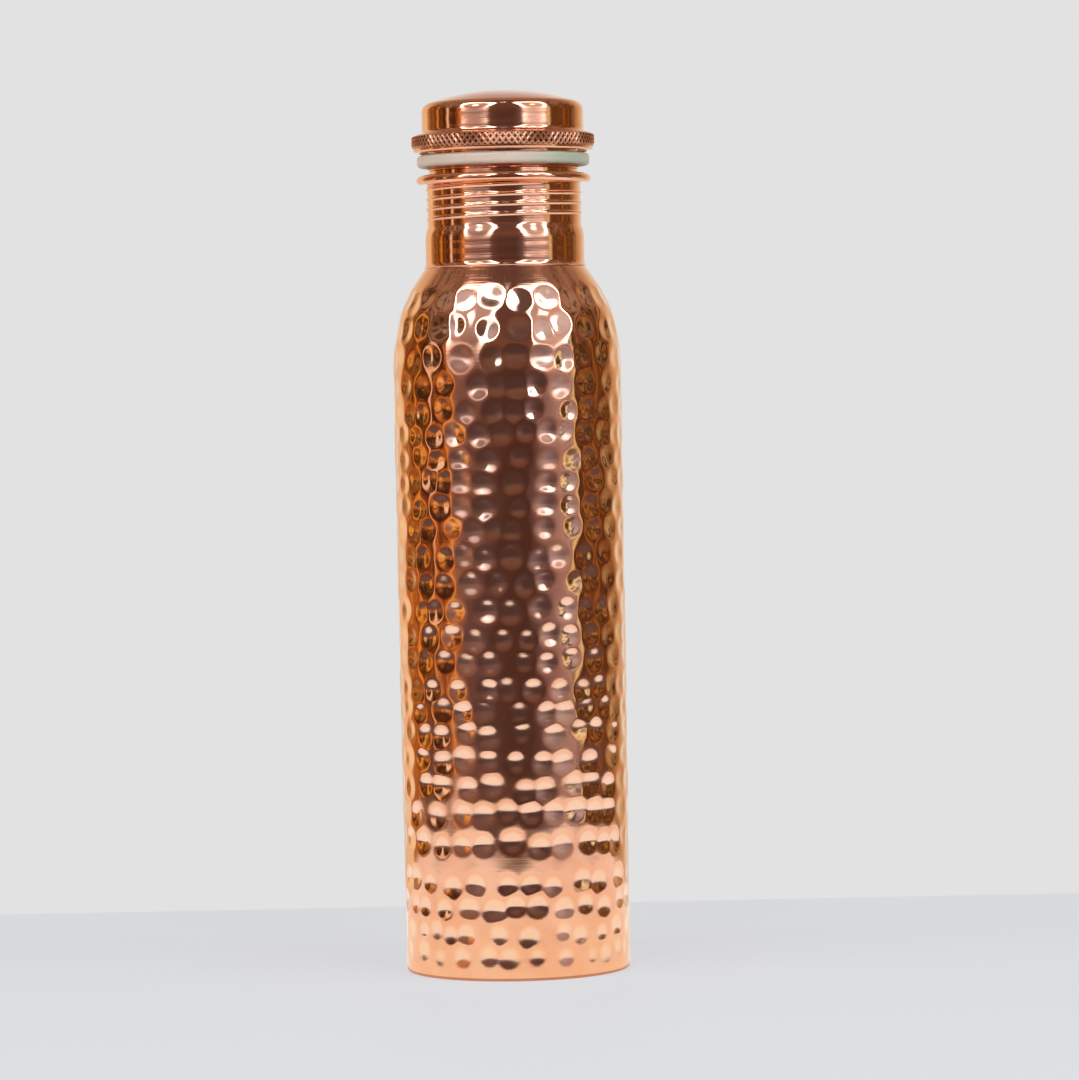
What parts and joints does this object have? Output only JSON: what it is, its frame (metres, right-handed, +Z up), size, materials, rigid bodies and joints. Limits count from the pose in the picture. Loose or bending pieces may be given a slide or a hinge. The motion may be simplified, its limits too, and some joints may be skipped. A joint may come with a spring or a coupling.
{
  "type": "water bottle",
  "caption": "Tall hammered copper water bottle with a smooth threaded neck and a knurled domed screw lid sealed by a soft ring.",
  "frame": {"origin": "centre of the foot, on the plane that the bottle stands on", "axes": "+Z up along the bottle's axis; -Y points at the viewer of the picture"},
  "size_m": [0.072, 0.072, 0.277],
  "materials": {
    "hammered_copper": "polished, hand hammered copper",
    "polished_copper": "polished copper with fine turning marks",
    "silicone": "milky translucent silicone"
  },
  "bodies": {
    "bottle": {"body_shell": "hammered_copper", "base_plate": "hammered_copper", "neck": "polished_copper"},
    "ring": {"seal_ring": "silicone"},
    "lid": {"lid_cap": "polished_copper", "lid_plug": "polished_copper"}
  },
  "joints": [
    {"name": "lid_lift", "type": "slide", "parent": "bottle", "child": "ring", "axis": [0, 0, 1], "range_m": [-0.00245, 0.01086]},
    {"name": "lid_turn", "type": "hinge", "parent": "ring", "child": "lid", "pos_m": [0, 0, 0.2504], "axis": [0, 0, 1], "range_deg": [-283, 1260]}
  ],
  "couplings": [
    {"joint": "lid_lift", "follows": "lid_turn", "m_per_rad": 0.00049338}
  ]
}
